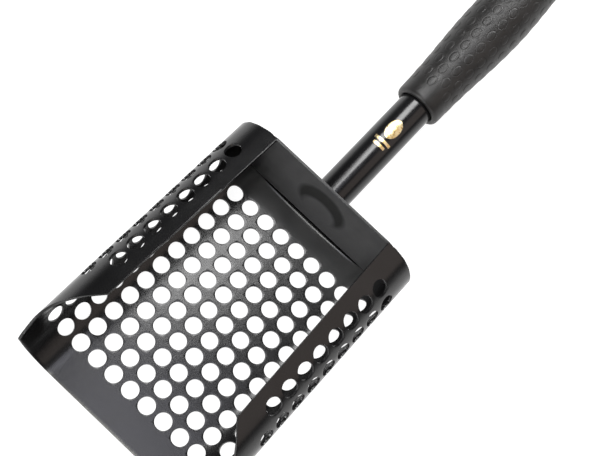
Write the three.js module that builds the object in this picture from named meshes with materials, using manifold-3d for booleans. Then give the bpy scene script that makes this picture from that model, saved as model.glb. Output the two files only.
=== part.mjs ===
// Beach sand scoop: one perforated steel sheet folded into an open scoop, a welded
// rear plate, a tube handle and a rubber grip. It is one rigid hand tool.
// Millimetres. +Z is up, +Y runs from the scoop's mouth to the end of the handle.
// The origin lies on the ground, under the middle of the whole tool.
import * as THREE from 'three';
import { mergeGeometries, mergeVertices } from 'three/addons/utils/BufferGeometryUtils.js';
import Module from 'manifold-3d';

const wasm = await Module();
wasm.setup();

// Sheet and its C-shaped section. Lengths along the sheet are counted from the
// middle of the floor, at mid-thickness.
const SHEET = 1.5;
const FLOOR_HALF = 41.9;       // half width of the flat floor
const BEND_RADIUS = 23.5;      // lower and upper bend, at mid-thickness
const WALL_HEIGHT = 5.4;       // straight wall between the two bends
const BEND_STEPS = 6;          // facets in each quarter bend

// Length of the scoop. LIP_Y and REAR_Y are counted from the middle hole row.
const LIP_Y = -85.9;
const REAR_Y = 84.2;
const OPENING_HALF_REAR = 41.9;   // half width of the open top at the rear plate
const OPENING_HALF_FRONT = 45.2;   // and where the folded-over edge ends in front
// Each side's front end is one straight oblique cut in the flat sheet, from the lip's
// corner to the tip of the folded-over edge.
const CUT_CORNER = 75;            // length along the sheet at the lip's corner
const CUT_TIP = 118;              // and at the tip
const CUT_TIP_Y = -42;

// Square hole grid. Each side column has its own number of holes, from the rear.
const PITCH = 12.5;
const HOLE_D = 10;
const HOLE_SIDES = 8;
const ROWS = 11;
const FLOOR_COLUMNS = 4;                       // on each side of the middle
const SIDE_COLUMNS = [[4.5, 11], [5.5, 11], [6.5, 10], [7.5, 9], [8.5, 8]];  // [pitches, holes]

// Tube handle, weld beads and grip.
const GAP = 0.3;               // air left between pieces that touch
const HANDLE_RISE = 10;        // degrees
const HANDLE_Z = 28.5;          // handle axis above the ground at the rear plate
const TUBE_R = 10.8;
const TUBE_WALL = 1.5;
const GRIP_START = 82;         // along the handle axis, from the rear plate
const GRIP_LENGTH = 128;
const GRIP_END_WALL = 6;
const BEAD_WIDTH = 2.9;
const BEAD_HEIGHT = 0.9;
// Outside of the grip: [distance from its front end, radius].
const GRIP_PROFILE = [[0, 13.5], [0.8, 14.5], [2.2, 15], [8, 15.2], [20, 15.6], [32, 16.3],
  [44, 17.2], [56, 18], [68, 18.5], [80, 18.6], [94, 18.1], [106, 17.3], [115, 16.9],
  [121, 17.1], [125, 16.3], [127.3, 13.4], [128, 9]];
// Foil trim on top of the tube: distance from the rear plate, length and width of each shape.
const MARK_OVAL = { along: 58.8, length: 13.4, width: 8.6 };
const MARK_BARS = [{ along: 49.3, length: 1.8, width: 11 }, { along: 45.9, length: 1.8, width: 8 }];
const MARK_THICKNESS = 0.2;

const paint = (name, colour, roughness, metalness) =>
  new THREE.MeshStandardMaterial({ name, color: colour, roughness, metalness });
const shellPaint = paint('shell paint', 0x26262a, 0.35, 0.2);
const platePaint = paint('plate paint', 0x2b2b30, 0.38, 0.2);
const tubePaint = paint('tube paint', 0x1d1d20, 0.4, 0.2);
const weldPaint = paint('weld paint', 0x232327, 0.45, 0.2);
const seamPaint = paint('seam weld paint', 0x242428, 0.45, 0.2);
const gripRubber = paint('grip rubber', 0x2e2e30, 0.75, 0);
const foilGold = paint('foil gold', 0xd8b45a, 0.35, 0.9);

// A closed geometry as a solid that can be cut and joined.
function toSolid(geometry) {
  const plain = geometry.clone();
  plain.deleteAttribute('normal');
  plain.deleteAttribute('uv');
  const merged = mergeVertices(plain, 1e-4);
  return new wasm.Manifold(new wasm.Mesh({
    numProp: 3,
    vertProperties: new Float32Array(merged.attributes.position.array),
    triVerts: new Uint32Array(merged.index.array),
  }));
}

function toGeometry(solid) {
  const mesh = solid.getMesh();
  const geometry = new THREE.BufferGeometry();
  geometry.setAttribute('position', new THREE.BufferAttribute(mesh.vertProperties, 3));
  geometry.setIndex(new THREE.BufferAttribute(mesh.triVerts, 1));
  geometry.computeVertexNormals();
  return geometry;
}

// Point and outward normal of the section at a length along the sheet, right-hand side.
function sectionAt(length) {
  const quarter = BEND_RADIUS * Math.PI / 2;
  const past = length - FLOOR_HALF;
  if (past <= 0) return { x: length, z: 0, nx: 0, nz: -1 };
  if (past < quarter) return bendPoint(0, past / BEND_RADIUS - Math.PI / 2);
  if (past < quarter + WALL_HEIGHT) {
    return { x: FLOOR_HALF + BEND_RADIUS, z: BEND_RADIUS + past - quarter, nx: 1, nz: 0 };
  }
  return bendPoint(WALL_HEIGHT, (past - quarter - WALL_HEIGHT) / BEND_RADIUS);
}

function bendPoint(lift, angle) {
  const nx = Math.cos(angle);
  const nz = Math.sin(angle);
  return {
    x: FLOOR_HALF + BEND_RADIUS * nx, z: BEND_RADIUS + lift + BEND_RADIUS * nz, nx, nz,
  };
}

// Lengths along the sheet at which the faceted section turns, from the floor up.
function sectionStops(end) {
  const quarter = BEND_RADIUS * Math.PI / 2;
  const stops = [];
  for (let i = 0; i <= BEND_STEPS; i++) stops.push(FLOOR_HALF + quarter * i / BEND_STEPS);
  for (let i = 0; i <= BEND_STEPS; i++) {
    stops.push(FLOOR_HALF + quarter + WALL_HEIGHT + quarter * i / BEND_STEPS);
  }
  return stops.filter((stop) => stop < end - 0.01).concat(end);
}

// Section line moved out (or in, if negative), from the left end to the right end.
function sectionLine(offset, end) {
  const right = sectionStops(end).map((stop) => {
    const at = sectionAt(stop);
    return new THREE.Vector2(at.x + at.nx * offset, at.z + at.nz * offset);
  });
  const left = right.map((point) => new THREE.Vector2(-point.x, point.y)).reverse();
  return left.concat(right);
}

// A flat outline in X and Z made into a slab from y0 to y1.
function slab(points, y0, y1) {
  const geometry = new THREE.ExtrudeGeometry(new THREE.Shape(points), {
    depth: y1 - y0, bevelEnabled: false, steps: 1, curveSegments: 1,
  });
  geometry.rotateX(Math.PI / 2);
  return geometry.translate(0, y1, SHEET / 2);
}

// Band that follows the section between two offsets, as the sheet and the seam weld do.
function sectionBand(inner, outer, end, y0, y1) {
  const points = sectionLine(outer, end).concat(sectionLine(inner, end).reverse());
  return slab(points, y0, y1);
}

function holeCutter(length, side, y) {
  const at = sectionAt(length);
  const radius = HOLE_D / 2 * 1.054;   // makes the polygon's area equal to the round hole's
  const cutter = new THREE.CylinderGeometry(radius, radius, 5, HOLE_SIDES);
  cutter.rotateY(Math.PI / HOLE_SIDES);
  const normal = new THREE.Vector3(side * at.nx, 0, at.nz);
  const turn = new THREE.Quaternion().setFromUnitVectors(new THREE.Vector3(0, 1, 0), normal);
  cutter.applyQuaternion(turn);
  return cutter.translate(side * at.x, y, at.z + SHEET / 2);
}

function allHoleCutters() {
  const cutters = [];
  const rearRow = (ROWS - 1) / 2 * PITCH;
  const addColumn = (pitches, count) => {
    for (const side of [-1, 1]) {
      for (let i = 0; i < count; i++) {
        cutters.push(holeCutter(pitches * PITCH, side, rearRow - i * PITCH));
      }
    }
  };
  for (let i = 0; i < FLOOR_COLUMNS; i++) addColumn(i + 0.5, ROWS);
  for (const [pitches, count] of SIDE_COLUMNS) addColumn(pitches, count);
  return mergeGeometries(cutters);
}

// Everything in front of the oblique front ends, above the lip corners.
function frontCutter() {
  const slope = (CUT_TIP_Y - LIP_Y) / (CUT_TIP - CUT_CORNER);
  const stops = [CUT_CORNER, ...sectionStops(CUT_TIP).filter((stop) => stop > CUT_CORNER)];
  const outline = stops.map((stop) =>
    new THREE.Vector2(LIP_Y + slope * (stop - CUT_CORNER), sectionAt(stop).z));
  outline.push(new THREE.Vector2(CUT_TIP_Y, 80), new THREE.Vector2(LIP_Y - 20, 80));
  outline.push(new THREE.Vector2(LIP_Y - 20, outline[0].y));
  const width = 200;
  const geometry = new THREE.ExtrudeGeometry(new THREE.Shape(outline), {
    depth: width, bevelEnabled: false, steps: 1,
  });
  // The outline's own x and y become the tool's y and z, and its depth lies along x.
  geometry.applyMatrix4(new THREE.Matrix4().makeBasis(
    new THREE.Vector3(0, 1, 0), new THREE.Vector3(0, 0, 1), new THREE.Vector3(1, 0, 0)));
  return geometry.translate(-width / 2, 0, SHEET / 2);
}

// Wedge in plan view that trims the folded-over edges, so that the top widens in front.
function openingCutter() {
  const widen = (OPENING_HALF_FRONT - OPENING_HALF_REAR) / (REAR_Y - CUT_TIP_Y);
  const halfAt = (y) => OPENING_HALF_REAR + widen * (REAR_Y - y);
  const [rear, front] = [REAR_Y + 5, CUT_TIP_Y - 30];
  const outline = [[-halfAt(rear), rear], [-halfAt(front), front], [halfAt(front), front],
    [halfAt(rear), rear]].map(([x, y]) => new THREE.Vector2(x, y));
  const geometry = new THREE.ExtrudeGeometry(new THREE.Shape(outline), {
    depth: 60, bevelEnabled: false, steps: 1,
  });
  return geometry.translate(0, 0, 30);
}

function shellGeometry() {
  const end = FLOOR_HALF + BEND_RADIUS * Math.PI + WALL_HEIGHT;
  const sheet = toSolid(sectionBand(-SHEET / 2, SHEET / 2, end, LIP_Y, REAR_Y));
  return toGeometry(sheet.subtract(toSolid(frontCutter()))
    .subtract(toSolid(openingCutter())).subtract(toSolid(allHoleCutters())));
}

// Plate that closes the rear: it fits inside the section and stands level with its top.
function rearPlateGeometry() {
  const end = FLOOR_HALF + BEND_RADIUS * Math.PI + WALL_HEIGHT;
  const outline = sectionLine(-SHEET / 2 - GAP, end);
  const top = 2 * BEND_RADIUS + WALL_HEIGHT + SHEET / 2;
  const half = OPENING_HALF_REAR - GAP;
  outline[0].x = -half;
  outline.at(-1).x = half;
  outline.push(new THREE.Vector2(half, top), new THREE.Vector2(-half, top));
  return slab(outline, REAR_Y - SHEET, REAR_Y);
}

// Bead over the joint between the plate and the sheet, on the outside.
function seamWeldGeometry() {
  const end = FLOOR_HALF + BEND_RADIUS * Math.PI + WALL_HEIGHT - 3;
  const outer = SHEET / 2 - 0.4;
  const y0 = REAR_Y + GAP;
  return sectionBand(outer - BEAD_WIDTH, outer, end, y0, y0 + BEAD_HEIGHT);
}

// Ring or solid of revolution about the handle axis. The profile holds [distance, radius].
function turned(profile, sides) {
  const points = profile.map(([along, radius]) => new THREE.Vector2(radius, along));
  return new THREE.LatheGeometry(points, sides);
}

// The side of the rear plate's outer face on which the handle doesn't lie.
function plateSideCutter() {
  const box = new THREE.BoxGeometry(60, 40, 60);
  box.translate(0, -20 + GAP, 0);
  return toSolid(box.rotateX(-THREE.MathUtils.degToRad(HANDLE_RISE)));
}

const TUBE_LENGTH = GRIP_START + GRIP_LENGTH - GRIP_END_WALL - 0.6;

function tubeGeometry() {
  const inner = TUBE_R - TUBE_WALL;
  const profile = [[-6, inner], [-6, TUBE_R], [TUBE_LENGTH, TUBE_R], [TUBE_LENGTH, inner],
    [-6, inner]];
  return toGeometry(toSolid(turned(profile, 24)).subtract(plateSideCutter()));
}

function handleWeldGeometry() {
  const inner = TUBE_R + GAP;
  const profile = [[-6, inner], [-6, TUBE_R + 3.6], [0.6, TUBE_R + 3.6], [1.9, TUBE_R + 2.4],
    [4, TUBE_R + 0.8], [4, inner], [-6, inner]];
  return toGeometry(toSolid(turned(profile, 24)).subtract(plateSideCutter()));
}

function gripGeometry() {
  const bore = TUBE_R + GAP;
  const profile = [[0, bore], ...GRIP_PROFILE, [GRIP_LENGTH, 0],
    [GRIP_LENGTH - GRIP_END_WALL, 0], [GRIP_LENGTH - GRIP_END_WALL, bore], [0, bore]];
  return toGeometry(toSolid(turned(profile, 28)));
}

// A thin outline laid on top of the tube and curved with it.
function markGeometry(outline) {
  const block = new THREE.ExtrudeGeometry(new THREE.Shape(outline), {
    depth: 6, bevelEnabled: false, steps: 1,
  }).translate(0, 0, TUBE_R - 3);
  const barrel = (radius) => toSolid(
    turned([[0, 0], [0, radius], [GRIP_START, radius], [GRIP_START, 0]], 60));
  return toGeometry(toSolid(block)
    .intersect(barrel(TUBE_R + GAP + MARK_THICKNESS)).subtract(barrel(TUBE_R + GAP)));
}

function ovalOutline({ along, length, width }) {
  const points = [];
  for (let i = 0; i < 16; i++) {
    const turn = i * Math.PI / 8;
    points.push(new THREE.Vector2(width / 2 * Math.cos(turn), along + length / 2 * Math.sin(turn)));
  }
  return points;
}

function barOutline({ along, length, width }) {
  const [x, y] = [width / 2, length / 2];
  return [[-x, along - y], [x, along - y], [x, along + y], [-x, along + y]]
    .map(([px, py]) => new THREE.Vector2(px, py));
}

function named(name, geometry, material) {
  const mesh = new THREE.Mesh(geometry, material);
  mesh.name = name;
  return mesh;
}

// Everything on the handle axis: +Y of this group points along the handle.
const handle = new THREE.Group();
handle.add(named('handle_tube', tubeGeometry(), tubePaint));
handle.add(named('handle_weld', handleWeldGeometry(), weldPaint));
const grip = named('grip', gripGeometry(), gripRubber);
grip.position.y = GRIP_START;
handle.add(grip);
handle.add(named('foil_oval', markGeometry(ovalOutline(MARK_OVAL)), foilGold));
MARK_BARS.forEach((bar, i) => {
  handle.add(named(`foil_bar_${i + 1}`, markGeometry(barOutline(bar)), foilGold.clone()));
});
handle.position.set(0, REAR_Y, HANDLE_Z);
handle.rotation.x = THREE.MathUtils.degToRad(HANDLE_RISE);

const group = new THREE.Group();
group.add(named('scoop_shell', shellGeometry(), shellPaint));
group.add(named('rear_plate', rearPlateGeometry(), platePaint));
group.add(named('rear_seam_weld', seamWeldGeometry(), seamPaint));
group.add(handle);

// Puts the origin under the middle of the whole tool.
const box = new THREE.Box3().setFromObject(group, true);
group.position.y = -(box.min.y + box.max.y) / 2;
group.updateMatrixWorld(true);

export default group;
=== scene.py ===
"""Looks of the beach sand scoop: the fine meshes, the paint, rubber and foil, and the studio.

Lengths are written in millimetres and turned into metres by MM. The row frame is used
throughout: +Z up, +Y from the mouth to the end of the handle, the ground at Z = 0.
"""
import math

import bmesh
import bpy
import numpy as np
from mathutils import Matrix, Vector


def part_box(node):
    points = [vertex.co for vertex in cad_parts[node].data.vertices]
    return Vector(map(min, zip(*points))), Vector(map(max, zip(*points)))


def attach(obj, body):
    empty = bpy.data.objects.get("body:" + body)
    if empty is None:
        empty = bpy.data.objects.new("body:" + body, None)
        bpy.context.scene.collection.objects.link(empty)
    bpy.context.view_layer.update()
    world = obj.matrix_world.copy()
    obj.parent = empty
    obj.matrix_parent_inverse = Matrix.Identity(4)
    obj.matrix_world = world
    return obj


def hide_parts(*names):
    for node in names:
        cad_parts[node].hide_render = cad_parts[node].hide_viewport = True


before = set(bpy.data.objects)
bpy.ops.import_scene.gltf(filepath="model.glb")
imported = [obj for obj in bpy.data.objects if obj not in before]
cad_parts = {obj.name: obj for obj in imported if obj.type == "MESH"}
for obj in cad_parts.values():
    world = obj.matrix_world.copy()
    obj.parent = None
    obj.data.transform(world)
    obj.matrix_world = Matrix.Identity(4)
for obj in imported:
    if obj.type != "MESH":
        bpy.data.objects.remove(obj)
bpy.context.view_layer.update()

MM = 0.001

# Sheet section, inside the solid's: floor, lower bend, wall, curl with a straight end.
SHEET = 1.5
FLOOR_HALF = 41.9
BEND_RADIUS = 23.5
WALL_HEIGHT = 5.4
QUARTER = BEND_RADIUS * math.pi / 2
CURL_RADIUS = 21.8
CURL_ANGLE = math.radians(72)
CURL_ARC = CURL_RADIUS * CURL_ANGLE
CURL_STRAIGHT = 8.9                # the end of the curl, which the press leaves straight
CURL_START = QUARTER + WALL_HEIGHT
SHEET_END = FLOOR_HALF + CURL_START + CURL_ARC + CURL_STRAIGHT

# Lengths along Y are counted from the middle row of holes.
LIP_Y = -85.9
REAR_Y = 84.2
PLATE_FACE_Y = REAR_Y - SHEET
# Each front end is cut from CUT_CORNER, a length along the section at the lip, to CUT_TIP.
CUT_CORNER, CUT_TIP, CUT_TIP_Y = 75.0, 118.0, -42.0
EDGE_TIP = 117.3                   # length along the section of the curled edge at CUT_TIP_Y
PITCH = 12.5
HOLE_RADIUS = 5.0
ROWS = 11
COLUMNS = 18
SIDE_HOLES = {4.5: 11, 5.5: 11, 6.5: 10, 7.5: 9, 8.5: 8}    # holes, by columns from the middle
CELL_STEPS = 10                    # mesh steps along each side of one square of the grid
SEAM_ZONE_Y = 80                   # from here to the plate the rows of the mesh lie close

# Seam of plate and floor: an open groove, widest in the middle, and a fine ridge before it.
SEAM_WIDTH, SEAM_EXTRA_WIDTH = 0.25, 1.2
SEAM_DEPTH, SEAM_BANK = 1.1, 0.4
RIDGE_HEIGHT, RIDGE_RISE, RIDGE_FALL, RIDGE_END = 0.26, 0.35, 0.85, 1.25

# Handle.
HANDLE_RISE = math.radians(10)
HANDLE_Z = 28.5
TUBE_RADIUS = 10.8
TUBE_BORE = 9.3
TUBE_LENGTH = 203.4
GRIP_START = 82.0
GRIP_LENGTH = 128.0
GRIP_BORE_DEPTH = 122.0
GRIP_BORE = 11.1
GRIP_MOUTH = [(0.0, 12.4), (0.35, 11.5), (1.2, GRIP_BORE)]      # distance along, radius
# Distance along the grip and radius there.
GRIP_PROFILE = [(0, 13.5), (0.8, 14.5), (2.2, 15), (8, 15.2), (20, 15.6), (32, 16.3), (44, 17.2),
                (56, 18), (68, 18.5), (80, 18.6), (94, 18.1), (106, 17.3), (115, 16.9),
                (121, 17.1), (125, 16.3), (127.3, 13.4), (128, 9)]

shell_low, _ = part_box("scoop_shell")
MIDDLE_Y = shell_low.y / MM - LIP_Y          # row-frame Y of the middle row of holes
HANDLE_FOOT = Vector((0, MIDDLE_Y + REAR_Y, HANDLE_Z))
HANDLE_AXIS = Vector((0, math.cos(HANDLE_RISE), math.sin(HANDLE_RISE)))
HANDLE_UP = Vector((0, -math.sin(HANDLE_RISE), math.cos(HANDLE_RISE)))


# ---------------------------------------------------------------- mesh helpers

def link_object(name, data):
    """A new object in the scene."""
    obj = bpy.data.objects.new(name, data)
    bpy.context.scene.collection.objects.link(obj)
    return obj


def shade_smooth(obj):
    for polygon in obj.data.polygons:
        polygon.use_smooth = True


def make_object(name, points, faces):
    """A smooth mesh object from points in millimetres."""
    mesh = bpy.data.meshes.new(name)
    mesh.from_pydata([tuple(c * MM for c in p) for p in points], [], faces)
    mesh.validate()
    mesh.update()
    obj = link_object(name, mesh)
    shade_smooth(obj)
    return obj


EDGE_SEGMENTS = 3
EDGE_ANGLE = math.radians(50)      # edges sharper than this are rounded


def thicken(obj, edge_width):
    """Gives a surface the thickness of the sheet and rounded cut edges, as plain mesh."""
    solid = obj.modifiers.new("sheet", "SOLIDIFY")
    solid.thickness = SHEET * MM
    solid.offset = 0
    solid.use_even_offset = True
    bevel = obj.modifiers.new("edges", "BEVEL")
    bevel.width = edge_width * MM
    bevel.segments = EDGE_SEGMENTS
    bevel.limit_method = "ANGLE"
    bevel.angle_limit = EDGE_ANGLE
    graph = bpy.context.evaluated_depsgraph_get()
    mesh = bpy.data.meshes.new_from_object(obj.evaluated_get(graph))
    obj.modifiers.clear()
    obj.data = mesh


def fix_normals(obj, join_within=0.0):
    """Points all faces outwards, after joining points that lie that close, in metres."""
    bm = bmesh.new()
    bm.from_mesh(obj.data)
    if join_within:
        bmesh.ops.remove_doubles(bm, verts=bm.verts, dist=join_within)
    bmesh.ops.recalc_face_normals(bm, faces=bm.faces)
    bm.to_mesh(obj.data)
    bm.free()


def ring_strip(rings, close_path=False):
    """Points and quad faces of a surface through a list of equal closed rings."""
    count = len(rings[0])
    points = [p for ring in rings for p in ring]
    faces = []
    last = len(rings) if close_path else len(rings) - 1
    for i in range(last):
        a, b = i * count, ((i + 1) % len(rings)) * count
        for j in range(count):
            k = (j + 1) % count
            faces.append((a + j, a + k, b + k, b + j))
    return points, faces


def full_turn(count):
    """Equal angles round a circle."""
    return [i * 2 * math.pi / count for i in range(count)]


def spread(start, end, count):
    """Values from start to end in equal steps, both ends included."""
    return [start + (end - start) * i / count for i in range(count + 1)]


def smooth_step(t):
    """Eases from 0 to 1 while t goes from 0 to 1."""
    t = min(max(t, 0.0), 1.0)
    return t * t * (3 - 2 * t)


# ---------------------------------------------------------------- bent sheet

def section_at(length):
    """X, Z and outward normal of the sheet's middle at a signed length from the centre."""
    side = 1 if length >= 0 else -1
    along = abs(length)
    past = along - FLOOR_HALF
    if past <= 0:
        return side * along, 0.0, 0.0, -1.0
    if past >= CURL_START:
        return curl_at(side, past - CURL_START)
    if past >= QUARTER:
        return side * (FLOOR_HALF + BEND_RADIUS), BEND_RADIUS + past - QUARTER, side, 0.0
    angle = past / BEND_RADIUS - math.pi / 2
    nx, nz = math.cos(angle), math.sin(angle)
    x = FLOOR_HALF + BEND_RADIUS * nx
    return side * x, BEND_RADIUS + BEND_RADIUS * nz, side * nx, nz


def curl_at(side, length):
    """The same for the curl, at a length from its start."""
    angle = min(length / CURL_RADIUS, CURL_ANGLE)
    straight = max(0.0, length - CURL_ARC)
    nx, nz = math.cos(angle), math.sin(angle)
    x = FLOOR_HALF + BEND_RADIUS - CURL_RADIUS * (1 - nx) - straight * nz
    return side * x, BEND_RADIUS + WALL_HEIGHT + CURL_RADIUS * nz + straight * nx, side * nx, nz


def bend(length, y, offset=0.0):
    """Row-frame point of the flat sheet's (length, y), moved along the sheet's normal."""
    x, z, nx, nz = section_at(length)
    return x + nx * offset, MIDDLE_Y + y, z + nz * offset + SHEET / 2


def has_hole(column, row):
    """Whether this square of the grid is punched: rows count from the rear."""
    distance = abs(column + 0.5)
    if distance < 4:
        return True
    return row < SIDE_HOLES.get(distance, 0)


def add_hole_cell(bm, s0, y0):
    """One square cell of the sheet with a round hole, as rings of quads."""
    half = PITCH / 2
    run = spread(-half, half, CELL_STEPS)[:-1]
    border = [(t, -half) for t in run] + [(half, t) for t in run]
    border += [(-t, half) for t in run] + [(-half, -t) for t in run]
    count = len(border)
    rings = []
    for blend in (0.0, 0.45, 1.0):
        ring = []
        for bx, by in border:
            angle = math.atan2(by, bx)
            hx, hy = HOLE_RADIUS * math.cos(angle), HOLE_RADIUS * math.sin(angle)
            ring.append(bm.verts.new((s0 + hx + (bx - hx) * blend,
                                      y0 + hy + (by - hy) * blend, 0)))
        rings.append(ring)
    for inner, outer in zip(rings, rings[1:]):
        for i in range(count):
            j = (i + 1) % count
            bm.faces.new((inner[i], outer[i], outer[j], inner[j]))


def add_plain_grid(bm, s_values, y_values):
    """A patch of the sheet without holes."""
    grid = [[bm.verts.new((s, y, 0)) for s in s_values] for y in y_values]
    for lower, upper in zip(grid, grid[1:]):
        for i in range(len(s_values) - 1):
            bm.faces.new((lower[i], lower[i + 1], upper[i + 1], upper[i]))


def flat_pattern():
    """The whole sheet laid flat, as a bmesh in (length, y), with its real outline."""
    bm = bmesh.new()
    for column in range(-COLUMNS // 2, COLUMNS // 2):
        for row in range(ROWS):
            s0, y0 = (column + 0.5) * PITCH, ((ROWS - 1) / 2 - row) * PITCH
            if has_hole(column, row):
                add_hole_cell(bm, s0, y0)
            else:
                add_plain_grid(bm, spread(s0 - PITCH / 2, s0 + PITCH / 2, CELL_STEPS),
                               spread(y0 - PITCH / 2, y0 + PITCH / 2, CELL_STEPS))
    grid_end = COLUMNS / 2 * PITCH
    row_end = ROWS / 2 * PITCH
    across = spread(-grid_end, grid_end, COLUMNS * CELL_STEPS)
    along = spread(-row_end, row_end, ROWS * CELL_STEPS)
    front = spread(LIP_Y, -row_end, 9)
    seam_zone = spread(SEAM_ZONE_Y, PLATE_FACE_Y + 0.3, 30)
    rear = spread(row_end, SEAM_ZONE_Y, 7) + seam_zone[1:] + [REAR_Y]
    for rows in (front, rear):
        add_plain_grid(bm, across, rows)
    for side in (-1, 1):
        edge = spread(side * grid_end, side * SHEET_END, 7)
        edge = edge if side > 0 else edge[::-1]
        for rows in (front, along, rear):
            add_plain_grid(bm, edge, rows)
    bmesh.ops.remove_doubles(bm, verts=bm.verts, dist=0.01)
    trim_outline(bm)
    return bm


def trim_outline(bm):
    """Cuts the oblique front ends and the widening top opening."""
    for side in (-1, 1):
        cut = Vector((CUT_TIP_Y - LIP_Y, -(CUT_TIP - CUT_CORNER), 0))
        taper = Vector((REAR_Y - CUT_TIP_Y, -(SHEET_END - EDGE_TIP), 0))
        for point, normal in (((CUT_CORNER, LIP_Y, 0), cut),
                              ((EDGE_TIP, CUT_TIP_Y, 0), taper)):
            geometry = bm.verts[:] + bm.edges[:] + bm.faces[:]
            bmesh.ops.bisect_plane(
                bm, geom=geometry, dist=0.001, clear_outer=True,
                plane_co=(side * point[0], point[1], 0),
                plane_no=(side * normal.x, normal.y, 0))


def seam_groove(length, y):
    """Height of the floor near the rear plate: a low ridge, then a groove along the seam."""
    reach = abs(length) / (FLOOR_HALF - 1)
    if reach >= 1:
        return 0.0
    open_part = 1 - reach ** 4
    distance = PLATE_FACE_Y - y
    width = SEAM_WIDTH + SEAM_EXTRA_WIDTH * (1 - reach ** 2)
    if distance < width:
        return -SEAM_DEPTH * open_part * smooth_step((width - distance) / SEAM_BANK)
    past = distance - width
    fall = min(max((RIDGE_END - past) / RIDGE_FALL, 0.0), 1.0)
    return RIDGE_HEIGHT * open_part * (smooth_step(past / RIDGE_RISE) * fall)


def sheet_waviness(length, y):
    """Slight inward unevenness of hand-finished bent sheet, at most a fifth of a millimetre."""
    wave = math.sin(0.041 * y + 0.9) * math.sin(0.037 * length + 0.4)
    wave += 0.6 * math.sin(0.083 * y - 0.021 * length + 2.1)
    return 0.055 * wave - 0.11


def make_shell():
    """The flat pattern, bent up, thickened and pressed along its seam."""
    fade = 10.0                    # the floor stays flat, and the unevenness grows past it
    bm = flat_pattern()
    for vert in bm.verts:
        s, y = vert.co.x, vert.co.y
        share = smooth_step((abs(s) - FLOOR_HALF) / fade)
        x, row_y, z = bend(s, y, share * sheet_waviness(s, y))
        vert.co = Vector((x, row_y, z)) * MM
    bmesh.ops.recalc_face_normals(bm, faces=bm.faces)
    mesh = bpy.data.meshes.new("shell_sheet")
    bm.to_mesh(mesh)
    bm.free()
    obj = link_object("shell_sheet", mesh)
    thicken(obj, 0.28)
    carve_seam(obj)
    shade_smooth(obj)
    return obj


def carve_seam(obj):
    """Presses the seam's groove and ridge into the points of the floor's upper face."""
    top = SHEET * MM
    for vert in obj.data.vertices:
        x, y, z = vert.co
        if 0.6 * top < z < 1.6 * top and abs(x) < FLOOR_HALF * MM:
            vert.co.z += seam_groove(x / MM, y / MM - MIDDLE_Y) * MM


# ---------------------------------------------------------------- rear plate

DISH_RADIUS = 18.5
DISH_SLOPE = 12.0                  # width of its sloping part, from the rim inwards
DISH_DEPTH = 0.5
PLATE_GAP = 0.3                    # paint and play between the plate's edge and the sheet
OUTLINE_STEPS = 120
TOP_STEPS = 60
FINE_RINGS, COARSE_RINGS = 36, 10
FINE_REACH = 25.0                  # the close rings of the mesh take in the dish


def plate_outline():
    """Outline of the plate in X and Z: the inside of the section, up to its top."""
    inset = SHEET / 2 + PLATE_GAP
    points = []
    for i in range(-OUTLINE_STEPS, OUTLINE_STEPS + 1):
        x, z, nx, nz = section_at(SHEET_END * i / OUTLINE_STEPS)
        points.append((x - nx * inset, z - nz * inset + SHEET / 2))
    top = 2 * BEND_RADIUS + WALL_HEIGHT + SHEET
    half = FLOOR_HALF + 0.1
    points[0] = (-half, points[0][1])
    points[-1] = (half, points[-1][1])
    points += [(half - 2 * half * i / TOP_STEPS, top) for i in range(TOP_STEPS + 1)]
    return points


def weld_pull(x, z):
    """Shallow round dish behind the handle, steepest at its rim and flat in its middle."""
    inside = (DISH_RADIUS - math.hypot(x, z - HANDLE_Z)) / DISH_SLOPE
    inside = min(max(inside, 0.0), 1.0)
    return DISH_DEPTH * (1 - (1 - inside) ** 1.25)


def plate_point(x, z):
    """Row-frame point of the middle of the plate's thickness."""
    return x, MIDDLE_Y + PLATE_FACE_Y + SHEET / 2 + weld_pull(x, z), z


def plate_ring(outline, number):
    """One ring of the plate's mesh, counted from the handle out to the outline."""
    ring = []
    for x, z in outline:
        rise = z - HANDLE_Z
        length = math.hypot(x, rise)
        fine = FINE_REACH if length > FINE_REACH + 1 else length * 0.96
        if number <= FINE_RINGS:
            reach = fine * (number / FINE_RINGS)
        else:
            reach = fine + (length - fine) * (number - FINE_RINGS) / COARSE_RINGS
        ring.append(plate_point(x / length * reach, HANDLE_Z + rise / length * reach))
    return ring


def make_plate():
    """The dished plate: rings round the handle's centre, thickened and edged."""
    outline = plate_outline()
    rings = [plate_ring(outline, number + 1) for number in range(FINE_RINGS + COARSE_RINGS)]
    points, faces = ring_strip(rings)
    hub = len(points)
    points.append(plate_point(0.0, HANDLE_Z))
    count = len(outline)
    faces += [(hub, (j + 1) % count, j) for j in range(count)]
    obj = make_object("plate_sheet", points, faces)
    thicken(obj, 0.3)
    shade_smooth(obj)
    return obj


# ---------------------------------------------------------------- welds

BEAD_GAP = 0.32                    # the bead starts this far behind the plate's outer face
BEAD_SIDES = 14
BEAD_STEPS = 900
BEAD_HALF_WIDTH, BEAD_HEIGHT = 1.35, 0.68
BEAD_INSET = 1.1                   # its middle line lies inside the middle of the sheet
RIPPLE_PITCH, RIPPLE_HEIGHT = 1.9, 0.16


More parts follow.
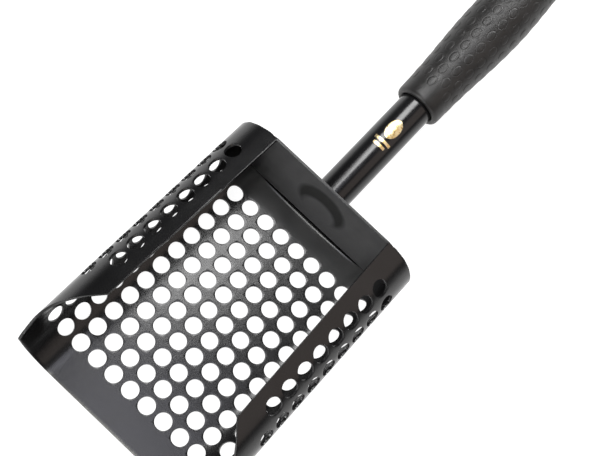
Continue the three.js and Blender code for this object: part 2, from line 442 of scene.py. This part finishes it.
def seam_bead_ring(s, length):
    """One ring of the seam's bead, at a length s along the section."""
    taper = math.sqrt(min(1.0, (length - abs(s)) / 2.5 + 0.02))
    ripple = 0.5 + 0.5 * math.cos(s * 2 * math.pi / RIPPLE_PITCH)
    wander = 0.12 * math.sin(s * 0.31) + 0.08 * math.sin(s * 0.83 + 1)
    x, z, nx, nz = section_at(s)
    ring = []
    for angle in full_turn(BEAD_SIDES):
        across = -BEAD_INSET + wander + BEAD_HALF_WIDTH * taper * math.cos(angle)
        height = math.sin(angle) * (BEAD_HEIGHT + RIPPLE_HEIGHT * ripple) * taper
        y = REAR_Y + BEAD_GAP + max(height, -0.02 * taper)
        ring.append((x + nx * across, MIDDLE_Y + y, z + nz * across + SHEET / 2))
    return ring


def make_seam_weld():
    """A low rippled bead along the joint of plate and sheet, on the outside."""
    length = SHEET_END - 3
    rings = [seam_bead_ring(-length + 2 * length * i / BEAD_STEPS, length)
             for i in range(BEAD_STEPS + 1)]
    points, faces = ring_strip(rings)
    last = len(points)
    faces += [tuple(reversed(range(BEAD_SIDES))), tuple(range(last - BEAD_SIDES, last))]
    return make_object("seam_bead", points, faces)


def handle_point(along, radius, angle):
    """Row-frame point at a distance along the handle axis and an angle round it."""
    place = HANDLE_FOOT + HANDLE_AXIS * along + HANDLE_UP * (radius * math.sin(angle))
    return place.x + radius * math.cos(angle), place.y, place.z


def plate_along(radius, angle):
    """Distance along the axis at which that line meets the plate's outer face."""
    return radius * math.sin(angle) * math.tan(HANDLE_RISE)


WELD_GAP = 0.35                    # the fillet starts this far behind the plate's outer face
WELD_LIFT = 0.4                    # it sits on the bulge that the dish makes on the outside
WELD_REACH, WELD_RISE = 3.3, 3.6
WELD_RIPPLES = 34
WELD_HOLLOW = 1.25                 # over 1 makes the fillet's face hollow
WELD_TURNS = 8                     # mesh steps from its outer edge up to the tube


def handle_weld_ring(angle):
    """One cross-section of the fillet, at an angle round the tube."""
    ripple = 0.5 + 0.5 * math.cos(angle * WELD_RIPPLES)
    lump = 1 + 0.05 * math.sin(3 * angle + 1) + 0.04 * math.sin(7 * angle)
    outer = WELD_REACH * lump + 0.14 * ripple
    rise = WELD_RISE * lump + 0.16 * ripple
    ring = []
    for j in range(WELD_TURNS + 1):
        turn = j / WELD_TURNS * math.pi / 2
        radius = TUBE_RADIUS + 0.2 + outer * (1 - math.sin(turn)) ** WELD_HOLLOW
        along = WELD_GAP + WELD_LIFT + rise * (1 - math.cos(turn)) ** WELD_HOLLOW
        ring.append(handle_point(plate_along(radius, angle) + along, radius, angle))
    ring.append(handle_point(plate_along(TUBE_RADIUS, angle) + WELD_GAP,
                             TUBE_RADIUS + 0.1, angle))
    return ring


def make_handle_weld():
    """A rippled fillet bead round the foot of the tube."""
    rings = [handle_weld_ring(angle) for angle in full_turn(360)]
    points, faces = ring_strip(rings, close_path=True)
    obj = make_object("handle_bead", points, faces)
    fix_normals(obj)
    return obj


# ---------------------------------------------------------------- tube and grip

TUBE_SIDES = 96
TUBE_GAP = 0.32                    # the tube starts this far behind the same face
FOOT_BLEND = 30.0                  # over this length its rings turn square to the axis


def make_tube():
    """The open tube, with its foot cut flat to the plate."""
    angles = full_turn(TUBE_SIDES)
    rings = []
    stops = [TUBE_GAP] + spread(1, 66, 65) + spread(70, TUBE_LENGTH, 12)
    for stop in stops:
        foot = max(0.0, 1 - stop / FOOT_BLEND)
        ring = [handle_point(stop + foot * plate_along(TUBE_RADIUS, a), TUBE_RADIUS, a)
                for a in angles]
        rings.append(ring)
    rings.append([handle_point(TUBE_LENGTH, TUBE_BORE, a) for a in angles])
    rings.append([handle_point(TUBE_GAP + plate_along(TUBE_BORE, a), TUBE_BORE, a)
                  for a in angles])
    points, faces = ring_strip(rings, close_path=True)
    obj = make_object("tube_body", points, faces)
    fix_normals(obj)
    return obj


def profile_radius(along):
    """Grip radius from its profile, as a smooth curve through the given points."""
    stops = GRIP_PROFILE
    for i in range(len(stops) - 1):
        (a0, r0), (a1, r1) = stops[i], stops[i + 1]
        if along <= a1:
            before = stops[max(i - 1, 0)]
            after = stops[min(i + 2, len(stops) - 1)]
            m0 = (r1 - before[1]) / (a1 - before[0]) * (a1 - a0)
            m1 = (after[1] - r0) / (after[0] - a0) * (a1 - a0)
            t = (along - a0) / (a1 - a0)
            return ((2 * t ** 3 - 3 * t ** 2 + 1) * r0 + (t ** 3 - 2 * t ** 2 + t) * m0
                    + (3 * t ** 2 - 2 * t ** 3) * r1 + (t ** 3 - t ** 2) * m1)
    return stops[-1][1]


OVAL_COLUMNS = 14
OVAL_PITCH = 10.0
OVAL_FIRST, OVAL_LAST = 13.0, 112.0
OVAL_HALF_ALONG, OVAL_HALF_ACROSS = 3.3, 2.35
PAD_CROWN, GROOVE_DEPTH, WEB_DEPTH = 0.09, 0.20, 0.08
GROOVE_REACH, GROOVE_WIDTH = 1.06, 0.10      # of the oval's own half size
FAR_AWAY = 9.0                               # a reach outside every oval
GRIP_SIDES = 504
GRIP_INSET, GRIP_END_INSET = 0.12, 0.12      # leaves room for the crowns inside the solid


def oval_relief(along, angle, radius):
    """Relief of one ring of the grip: ovals in a staggered lattice, each inside a fine groove."""
    column_angle = 2 * math.pi / OVAL_COLUMNS
    nearest = np.full_like(angle, FAR_AWAY)
    for step in (-1, 0, 1):
        column = np.round(angle / column_angle) + step
        shift = np.where(column % 2 == 1, OVAL_PITCH / 2, 0.0)
        row = np.round((along - OVAL_FIRST - shift) / OVAL_PITCH)
        centre = OVAL_FIRST + shift + row * OVAL_PITCH
        across = (angle - column * column_angle) * radius
        reach = np.hypot(across / OVAL_HALF_ACROSS, (along - centre) / OVAL_HALF_ALONG)
        real = (centre > OVAL_FIRST - 0.1) & (centre < OVAL_LAST)
        nearest = np.where(real, np.minimum(nearest, reach), nearest)
    crown = PAD_CROWN * np.clip(1 - nearest ** 2, 0, 1)
    groove = GROOVE_DEPTH * np.exp(-((nearest - GROOVE_REACH) / GROOVE_WIDTH) ** 2)
    between = WEB_DEPTH * np.clip((nearest - 1.08) / 0.3, 0, 1)
    return crown - groove - between


def grip_radii(along, angles):
    """Radii of one ring of the grip: the profile with its relief, which fades at both ends."""
    smooth = profile_radius(along)
    fade = smooth_step((along - 7) / 3) * smooth_step((120 - along) / 4)
    inset = GRIP_INSET + GRIP_END_INSET * smooth_step((along - 112) / 6)
    return smooth - inset + fade * oval_relief(along, angles, smooth)


def grip_outside(angles):
    """Rings of the grip's outside, from its mouth to the middle of its closed end."""
    stops = spread(0, 2, 8) + spread(2, 124, 430)[1:] + spread(124, GRIP_LENGTH, 16)[1:]
    rings = []
    for stop in stops:
        radii = grip_radii(stop, np.array(angles))
        rings.append([handle_point(GRIP_START + stop, r, a) for r, a in zip(radii, angles)])
    end_radius = GRIP_PROFILE[-1][1]
    for share in (0.9, 0.75, 0.55, 0.3, 0.06):
        rings.append([handle_point(GRIP_START + GRIP_LENGTH, end_radius * share, a)
                      for a in angles])
    return rings


def make_grip():
    """The rubber sleeve: its outside, its mouth and its blind bore."""
    angles = full_turn(GRIP_SIDES)
    rings = grip_outside(angles)
    points, faces = ring_strip(rings)
    start = len(points)
    faces.append(tuple(range(start - GRIP_SIDES, start)))
    bore = [[handle_point(GRIP_START + along, radius, a) for a in angles]
            for along, radius in GRIP_MOUTH + [(GRIP_BORE_DEPTH, GRIP_BORE)]]
    bore_points, bore_faces = ring_strip([rings[0]] + bore)
    points += bore_points
    faces += [tuple(start + v for v in face) for face in bore_faces]
    end = len(points)
    faces.append(tuple(range(end - GRIP_SIDES, end)))
    obj = make_object("grip_sleeve", points, faces)
    fix_normals(obj, join_within=1e-6)
    shade_smooth(obj)
    return obj


# ---------------------------------------------------------------- foil trim

FOIL_ROWS, FOIL_COLUMNS = 40, 24
FOIL_UNDER, FOIL_TOP = 0.06, 0.2             # heights over the tube


def foil_patch(name, along, length, width, round_ends):
    """A thin patch of foil that follows the top of the tube."""
    rings = []
    for i in range(FOIL_ROWS + 1):
        t = -1 + 2 * i / FOIL_ROWS
        reach = math.sqrt(max(0.0, 1 - t * t)) if round_ends else 1.0
        reach = max(reach, 0.02)
        columns = range(FOIL_COLUMNS + 1)
        ring = []
        for level, order in ((FOIL_UNDER, reversed(columns)), (FOIL_TOP, columns)):
            for j in order:
                across = (-1 + 2 * j / FOIL_COLUMNS) * width / 2 * reach
                angle = math.pi / 2 - across / TUBE_RADIUS
                ring.append(handle_point(along + t * length / 2, TUBE_RADIUS + level, angle))
        rings.append(ring)
    points, faces = ring_strip(rings)
    count = len(rings[0])
    faces += [tuple(range(count - 1, -1, -1)),
              tuple(range(len(points) - count, len(points)))]
    obj = make_object(name, points, faces)
    fix_normals(obj)
    return obj


# ---------------------------------------------------------------- materials

class Nodes:
    """Short calls for building a node material."""

    def __init__(self, name):
        self.material = bpy.data.materials.new(name)
        self.material.use_nodes = True
        self.tree = self.material.node_tree
        self.shader = self.tree.nodes["Principled BSDF"]
        self.coords = self.tree.nodes.new("ShaderNodeTexCoord").outputs["Object"]

    def link(self, source, target):
        self.tree.links.new(source, target)

    def noise(self, scale, detail, roughness=0.5):
        """Noise with about that many lumps to a metre."""
        node = self.tree.nodes.new("ShaderNodeTexNoise")
        node.inputs["Scale"].default_value = scale
        node.inputs["Detail"].default_value = detail
        node.inputs["Roughness"].default_value = roughness
        self.link(self.coords, node.inputs["Vector"])
        return node.outputs["Fac"]

    def spread(self, value, low, high, from_low=0.3, from_high=0.7):
        """Maps from_low..from_high to low..high; the defaults are the usual range of noise."""
        node = self.tree.nodes.new("ShaderNodeMapRange")
        node.inputs["From Min"].default_value = from_low
        node.inputs["From Max"].default_value = from_high
        node.inputs["To Min"].default_value = low
        node.inputs["To Max"].default_value = high
        self.link(value, node.inputs["Value"])
        return node.outputs["Result"]

    def axes(self):
        """The object's own X, Y and Z, in metres."""
        node = self.tree.nodes.new("ShaderNodeSeparateXYZ")
        self.link(self.coords, node.inputs[0])
        return node.outputs["X"], node.outputs["Y"], node.outputs["Z"]

    def math(self, operation, first, second=None):
        """One math node; each argument is a number or a socket."""
        node = self.tree.nodes.new("ShaderNodeMath")
        node.operation = operation
        for socket, value in zip(node.inputs, (first, second)):
            if isinstance(value, (int, float)):
                socket.default_value = value
            elif value is not None:
                self.link(value, socket)
        return node.outputs[0]

    def mix(self, factor, first, second):
        """A colour between two, each a tuple or a socket."""
        node = self.tree.nodes.new("ShaderNodeMix")
        node.data_type = "RGBA"            # its colours are inputs 6 and 7, and output 2
        for socket, colour in ((node.inputs[6], first), (node.inputs[7], second)):
            if isinstance(colour, tuple):
                socket.default_value = (*colour, 1)
            else:
                self.link(colour, socket)
        self.link(factor, node.inputs[0])
        return node.outputs[2]

    def bump(self, height, strength, distance, below=None):
        """Bump on top of another bump, with its full height in metres."""
        node = self.tree.nodes.new("ShaderNodeBump")
        node.inputs["Strength"].default_value = strength
        node.inputs["Distance"].default_value = distance
        self.link(height, node.inputs["Height"])
        if below is not None:
            self.link(below, node.inputs["Normal"])
        return node.outputs["Normal"]

    def set(self, name, value):
        self.shader.inputs[name].default_value = value


REFRACTION = 1.5       # of paint and of rubber


def painted_steel(name, dark, light, rough_low, rough_high, peel, extra=None):
    """Black powder coat: cloudy tone and gloss, fine orange peel and broad waves.

    peel scales the bumps, and extra adds what only one piece has, such as painted light.
    """
    nodes = Nodes(name)
    tone = nodes.noise(38, 4)
    gloss = nodes.noise(85, 5, 0.6)
    colour = nodes.mix(nodes.spread(tone, 0, 1), dark, light)
    roughness = nodes.spread(gloss, rough_low, rough_high)
    if extra:
        colour, roughness = extra(nodes, colour, roughness)
    nodes.link(colour, nodes.shader.inputs["Base Color"])
    nodes.link(roughness, nodes.shader.inputs["Roughness"])
    fine = nodes.bump(nodes.noise(1500, 2), 0.07 * peel, 0.3 * MM)
    broad = nodes.bump(nodes.noise(200, 1), 0.03 * peel, 1.0 * MM, fine)
    nodes.link(broad, nodes.shader.inputs["Normal"])
    nodes.set("Metallic", 0.0)
    nodes.set("IOR", REFRACTION)
    return nodes.material


# Painted light: the lighter tone laid on the floor's strip before the rear plate.
FLOOR_PAINTED_LIGHT = (0.044, 0.044, 0.045)
# Painted light: the lighter tone laid low on the rear plate.
PLATE_PAINTED_LIGHT = (0.050, 0.050, 0.052)
# Painted dark reflection: the colour of the dull arc on the plate round the handle.
PAINTED_DARK_REFLECTION = (0.001, 0.001, 0.001)
DARK_REFLECTION_DULLNESS = 0.55                         # added to the roughness where the mark is full
MARK_DROP = 9.5                              # centre of its inner arc, under the handle's


def seam_painted_light(nodes, colour, roughness):
    """Painted light: a lighter, uneven strip on the floor in front of the rear plate."""
    _, y, z = nodes.axes()
    near = nodes.spread(y, 0, 1, -0.062, -0.034)
    low = nodes.spread(z, 1, 0, 0.003, 0.009)
    upper_face = nodes.spread(z, 0, 1, 0.0011, 0.0014)
    on_floor = nodes.math("MULTIPLY", low, upper_face)
    patchy = nodes.spread(nodes.noise(30, 3), 0.75, 1.0)
    painted_light_share = nodes.math("MULTIPLY", nodes.math("MULTIPLY", near, on_floor), patchy)
    return nodes.mix(painted_light_share, colour, FLOOR_PAINTED_LIGHT), roughness


def distance_from(nodes, x, z, centre_z):
    """Distance over the plate from the point centre_z millimetres up its middle line."""
    height = nodes.math("SUBTRACT", z, centre_z * MM)
    squares = nodes.math("ADD", nodes.math("MULTIPLY", x, x),
                         nodes.math("MULTIPLY", height, height))
    return nodes.math("SQRT", squares)


def plate_painted_light_and_reflection(nodes, colour, roughness):
    """Painted light that makes the plate lighter low down, and a painted dark reflection: a dull
    dark arc round the handle.
    """
    x, _, z = nodes.axes()
    # Painted light: lighter towards the bottom of the plate and away from its sides.
    inward = nodes.spread(nodes.math("ABSOLUTE", x), 1, 0, 0.036, 0.047)
    painted_light_share = nodes.math("MULTIPLY", nodes.spread(z, 1, 0, 0.006, 0.048), inward)
    lightened_colour = nodes.mix(painted_light_share, colour, PLATE_PAINTED_LIGHT)
    # Painted dark reflection: a dull dark arc round the top of the handle's foot.
    outer = nodes.spread(distance_from(nodes, x, z, HANDLE_Z), 1, 0, 0.0150, 0.0185)
    inner = nodes.spread(distance_from(nodes, x, z, HANDLE_Z - MARK_DROP), 0, 1, 0.0105, 0.0140)
    painted_reflection = nodes.math("MULTIPLY", outer, inner)
    dullness = nodes.math("MULTIPLY", painted_reflection, DARK_REFLECTION_DULLNESS)
    return nodes.mix(painted_reflection, lightened_colour, PAINTED_DARK_REFLECTION), nodes.math("ADD", roughness, dullness)


def moulded_rubber(name):
    """Soft black rubber: cloudy tone and gloss over a fine grain."""
    nodes = Nodes(name)
    tone = nodes.spread(nodes.noise(60, 4), 0, 1)
    colour = nodes.mix(tone, (0.006, 0.0057, 0.0055), (0.012, 0.0112, 0.0108))
    roughness = nodes.spread(nodes.noise(240, 4), 0.38, 0.48)
    grain = nodes.bump(nodes.noise(2600, 2), 0.22, 0.3 * MM)
    swell = nodes.bump(nodes.noise(420, 3), 0.12, 0.8 * MM, grain)
    nodes.link(colour, nodes.shader.inputs["Base Color"])
    nodes.link(roughness, nodes.shader.inputs["Roughness"])
    nodes.link(swell, nodes.shader.inputs["Normal"])
    nodes.set("IOR", REFRACTION)
    return nodes.material


def gold_foil(name):
    """Metal leaf with an uneven tone, from deep gold to pale."""
    nodes = Nodes(name)
    tone = nodes.spread(nodes.noise(420, 3), 0, 1, 0.35, 0.65)
    colour = nodes.mix(tone, (0.80, 0.55, 0.20), (1.0, 0.86, 0.55))
    roughness = nodes.spread(nodes.noise(700, 3), 0.22, 0.42)
    creases = nodes.bump(nodes.noise(1800, 2), 0.15, 0.2 * MM)
    nodes.link(colour, nodes.shader.inputs["Base Color"])
    nodes.link(roughness, nodes.shader.inputs["Roughness"])
    nodes.link(creases, nodes.shader.inputs["Normal"])
    nodes.set("Metallic", 1.0)
    return nodes.material


def dress(obj, material, node):
    """Gives a piece its material and its body, and hides the CAD node that it replaces."""
    obj.data.materials.clear()
    obj.data.materials.append(material)
    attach(obj, "root")
    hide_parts(node)


def build_object():
    """Makes all nine pieces; foil sizes are distance along the tube, length and width."""
    # The shell's paint carries a painted lighter strip; the plate's carries painted light and a
    # painted dark reflection.
    shell_paint = painted_steel("shell_paint", (0.005, 0.005, 0.0053), (0.008, 0.008, 0.0085),
                                0.20, 0.25, 1.0, seam_painted_light)
    plate_paint = painted_steel("plate_paint", (0.009, 0.009, 0.010), (0.014, 0.014, 0.015),
                                0.38, 0.48, 1.0, plate_painted_light_and_reflection)
    tube_paint = painted_steel("tube_paint", (0.005, 0.005, 0.0055), (0.0075, 0.0075, 0.008),
                               0.18, 0.22, 0.6)
    weld_paint = painted_steel("weld_paint", (0.005, 0.005, 0.0055), (0.008, 0.008, 0.0085),
                               0.32, 0.44, 1.6)
    dress(make_shell(), shell_paint, "scoop_shell")
    dress(make_plate(), plate_paint, "rear_plate")
    dress(make_seam_weld(), weld_paint, "rear_seam_weld")
    dress(make_handle_weld(), weld_paint, "handle_weld")
    dress(make_tube(), tube_paint, "handle_tube")
    dress(make_grip(), moulded_rubber("grip_rubber"), "grip")
    foil = gold_foil("gold_foil")
    dress(foil_patch("foil_leaf", 58.8, 13.4, 8.6, True), foil, "foil_oval")
    dress(foil_patch("foil_line_1", 49.3, 1.8, 11, False), foil, "foil_bar_1")
    dress(foil_patch("foil_line_2", 45.9, 1.8, 8, False), foil, "foil_bar_2")


# ---------------------------------------------------------------- studio

CAMERA_PLACE = Vector((27.8, -236.7, 529.6)) * MM
CAMERA_AIM = Vector((1.5, -33.8, 20.0)) * MM
CAMERA_ROLL = 44.20      # degrees, so that the handle points to the upper right
CAMERA_LENS = 56.03      # millimetres, on a sensor 36 wide
SCOOP_MIDDLE = (0, -0.06, 0.03)
TUBE_MIDDLE = (0, 0.08, 0.04)
SQUARE = (0.45, 0.45)    # usual size of a light, in metres


def add_camera():
    data = bpy.data.cameras.new("camera")
    data.lens = CAMERA_LENS
    data.sensor_width = 36
    data.clip_start = 0.01
    camera = link_object("camera", data)
    back = (CAMERA_PLACE - CAMERA_AIM).normalized()
    right = Vector((0, 1, 0)).cross(back).normalized()
    up = back.cross(right)
    level = Matrix((right, up, back)).transposed()
    rolled = level @ Matrix.Rotation(math.radians(CAMERA_ROLL), 3, "Z")
    camera.matrix_world = Matrix.Translation(CAMERA_PLACE) @ rolled.to_4x4()
    bpy.context.scene.camera = camera


def add_light(name, place, aim, size, power, tint=(1, 1, 1)):
    """A soft rectangular light: places and sizes in metres, power in watts."""
    data = bpy.data.lights.new(name, "AREA")
    data.shape = "RECTANGLE"
    data.size, data.size_y = size
    data.energy = power
    data.color = tint
    light = link_object(name, data)
    direction = Vector(aim) - Vector(place)
    turn = direction.to_track_quat("-Z", "Y").to_matrix()
    light.matrix_world = Matrix.Translation(place) @ turn.to_4x4()


def add_floor():
    """A wide white floor that also glows, so that what shows through the holes stays white."""
    half = 6.0
    mesh = bpy.data.meshes.new("studio_floor")
    mesh.from_pydata([(-half, -half, 0), (half, -half, 0), (half, half, 0), (-half, half, 0)],
                     [], [(0, 1, 2, 3)])
    floor = link_object("studio_floor", mesh)
    material = bpy.data.materials.new("studio_white")
    material.use_nodes = True
    shader = material.node_tree.nodes["Principled BSDF"]
    shader.inputs["Base Color"].default_value = (0.25, 0.25, 0.25, 1)
    shader.inputs["Roughness"].default_value = 0.9
    shader.inputs["Emission Color"].default_value = (1, 1, 1, 1)
    shader.inputs["Emission Strength"].default_value = 0.92
    mesh.materials.append(material)
    floor.location.z = -0.2 * MM         # just clear of the underside


def add_world():
    """Light from all round, strong up to the horizon and faint above."""
    world = bpy.data.worlds.new("studio")
    bpy.context.scene.world = world
    world.use_nodes = True
    tree = world.node_tree
    background = tree.nodes["Background"]
    background.inputs["Color"].default_value = (1, 1, 1, 1)
    height = tree.nodes.new("ShaderNodeSeparateXYZ")
    fade = tree.nodes.new("ShaderNodeMapRange")
    for name, value in (("From Min", 0.0), ("From Max", 0.3), ("To Min", 0.8), ("To Max", 0.03)):
        fade.inputs[name].default_value = value
    direction = tree.nodes.new("ShaderNodeTexCoord").outputs["Generated"]
    tree.links.new(direction, height.inputs[0])
    tree.links.new(height.outputs["Z"], fade.inputs["Value"])
    tree.links.new(fade.outputs["Result"], background.inputs["Strength"])


def build_studio():
    bpy.context.scene.view_settings.view_transform = "Standard"
    add_camera()
    add_floor()
    add_world()
    aim = SCOOP_MIDDLE
    add_light("front", (-0.3, -1.2, 0.56), aim, SQUARE, 12)
    add_light("back", (0, 0.96, 0.83), aim, SQUARE, 11)
    add_light("top_front", (0, -0.42, 1.27), aim, (0.28, 0.28), 2.7, (1, 1, 0.9))
    add_light("top", (0, -0.14, 1.33), aim, (0.45, 0.4), 1.8, (0.88, 0.88, 1))
    add_light("left_front", (-0.72, -0.78, 0.83), aim, SQUARE, 1.0)
    add_light("right_panel", (0.83, 0.33, 0.95), aim, (0.9, 0.9), 2.0, (1, 0.84, 0.76))
    add_light("right_low", (0.89, -0.95, 0.35), aim, SQUARE, 1.2, (1, 0.8, 0.7))
    add_light("tube_glint", (-0.29, 0.22, 0.85), TUBE_MIDDLE, (0.25, 0.45), 4.6)


build_object()
build_studio()

bpy.context.view_layer.update()
